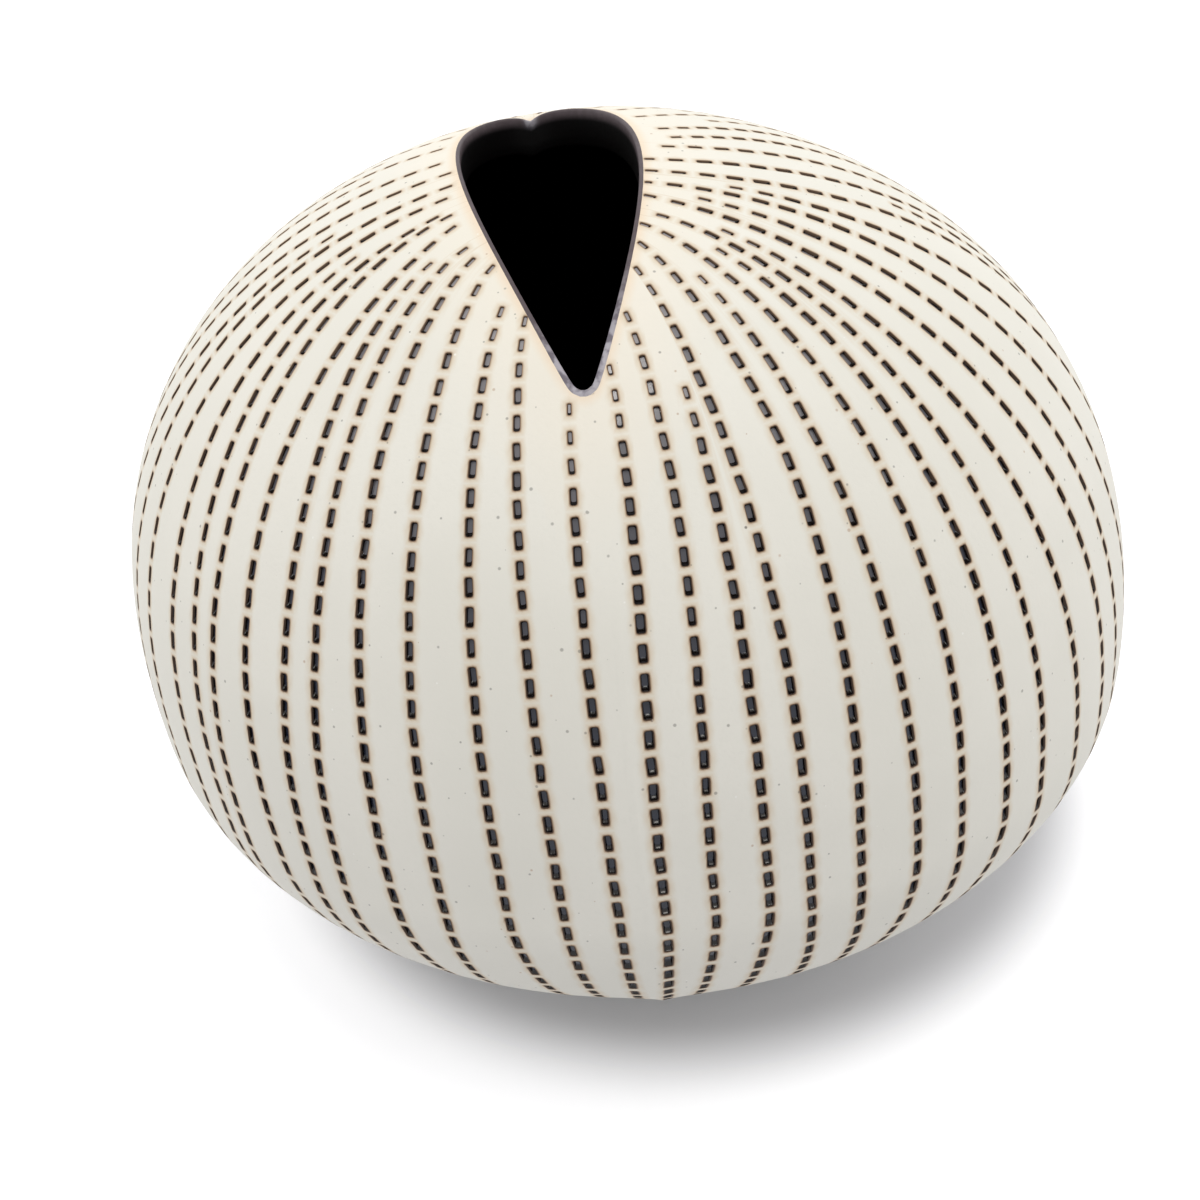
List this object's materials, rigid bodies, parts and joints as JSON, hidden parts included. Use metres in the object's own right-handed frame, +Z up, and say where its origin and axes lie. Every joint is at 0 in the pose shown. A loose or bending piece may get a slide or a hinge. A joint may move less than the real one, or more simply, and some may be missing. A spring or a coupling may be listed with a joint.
{
  "type": "bud vase",
  "caption": "Squat, round, slightly leaning porcelain bud vase with a teardrop mouth on top and front, and rows of short dark dashes.",
  "frame": {"origin": "middle of the foot's flat face, which is also the bottom centre of the bounding box", "axes": "+Z up, -Y towards the mouth's narrow end and the picture's viewer, +X to the viewer's right"},
  "size_m": [0.0904, 0.0902, 0.0685],
  "materials": {
    "porcelain": "matte, unglazed, smooth",
    "inner_glaze": "glossy",
    "rim_glaze": "satin",
    "dash_glaze": "glossy"
  },
  "bodies": {
    "root": {"porcelain_body": "porcelain", "glaze_lining": "inner_glaze", "rim_glaze": "rim_glaze", "dash_row_01": "dash_glaze", "dash_row_02": "dash_glaze", "dash_row_03": "dash_glaze", "dash_row_04": "dash_glaze", "dash_row_05": "dash_glaze", "dash_row_06": "dash_glaze", "dash_row_07": "dash_glaze", "dash_row_08": "dash_glaze", "dash_row_09": "dash_glaze", "dash_row_10": "dash_glaze", "dash_row_11": "dash_glaze", "dash_row_12": "dash_glaze", "dash_row_13": "dash_glaze", "dash_row_14": "dash_glaze", "dash_row_15": "dash_glaze", "dash_row_16": "dash_glaze", "dash_row_17": "dash_glaze", "dash_row_18": "dash_glaze", "dash_row_19": "dash_glaze", "dash_row_20": "dash_glaze", "dash_row_21": "dash_glaze", "dash_row_22": "dash_glaze", "dash_row_23": "dash_glaze", "dash_row_24": "dash_glaze", "dash_row_25": "dash_glaze", "dash_row_26": "dash_glaze", "dash_row_27": "dash_glaze", "dash_row_28": "dash_glaze", "dash_row_29": "dash_glaze", "dash_row_30": "dash_glaze", "dash_row_31": "dash_glaze", "dash_row_32": "dash_glaze", "dash_row_33": "dash_glaze", "dash_row_34": "dash_glaze", "dash_row_35": "dash_glaze", "dash_row_36": "dash_glaze", "dash_row_37": "dash_glaze", "dash_row_38": "dash_glaze", "dash_row_39": "dash_glaze", "dash_row_40": "dash_glaze", "dash_row_41": "dash_glaze", "dash_row_42": "dash_glaze", "dash_row_43": "dash_glaze", "dash_row_44": "dash_glaze", "dash_row_45": "dash_glaze", "dash_row_46": "dash_glaze", "dash_row_47": "dash_glaze", "dash_row_48": "dash_glaze", "dash_row_49": "dash_glaze", "dash_row_50": "dash_glaze", "dash_row_51": "dash_glaze", "dash_row_52": "dash_glaze", "dash_row_53": "dash_glaze", "dash_row_54": "dash_glaze", "dash_row_55": "dash_glaze", "dash_row_56": "dash_glaze", "dash_row_57": "dash_glaze"}
  },
  "joints": []
}
